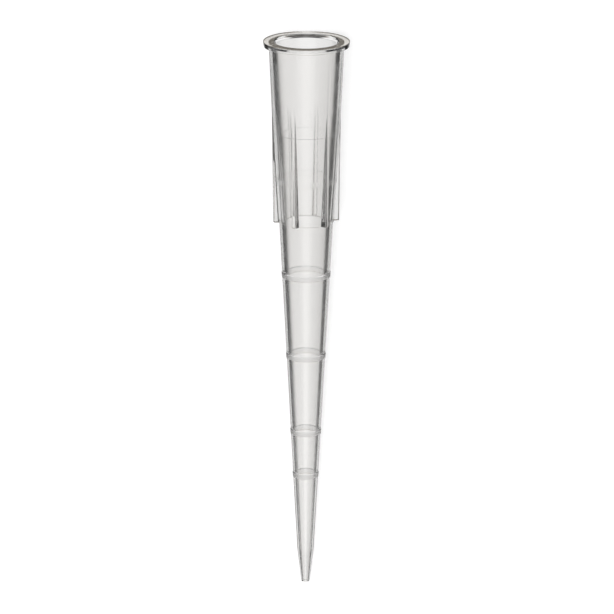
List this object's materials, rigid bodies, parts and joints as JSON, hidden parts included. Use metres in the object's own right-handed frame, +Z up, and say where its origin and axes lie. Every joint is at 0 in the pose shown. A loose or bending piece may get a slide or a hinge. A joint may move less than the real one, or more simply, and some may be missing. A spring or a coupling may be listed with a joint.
{
  "type": "pipette tip",
  "caption": "Clear tapered pipette tip with a flanged rim, a finned collar, graduation rings and a fine open end.",
  "frame": {"origin": "centre of the lying tip's bounding box, at the surface that it lies on", "axes": "+X along the tip towards the rim, whose axis rises 3.8 degrees above the surface; +Z up"},
  "size_m": [0.0512, 0.0078, 0.0078],
  "materials": {
    "clear_polypropylene": "clear, very slightly hazy moulded polypropylene, with satin graduation rings"
  },
  "bodies": {
    "root": {"pipette_tip": "clear_polypropylene"}
  },
  "joints": []
}
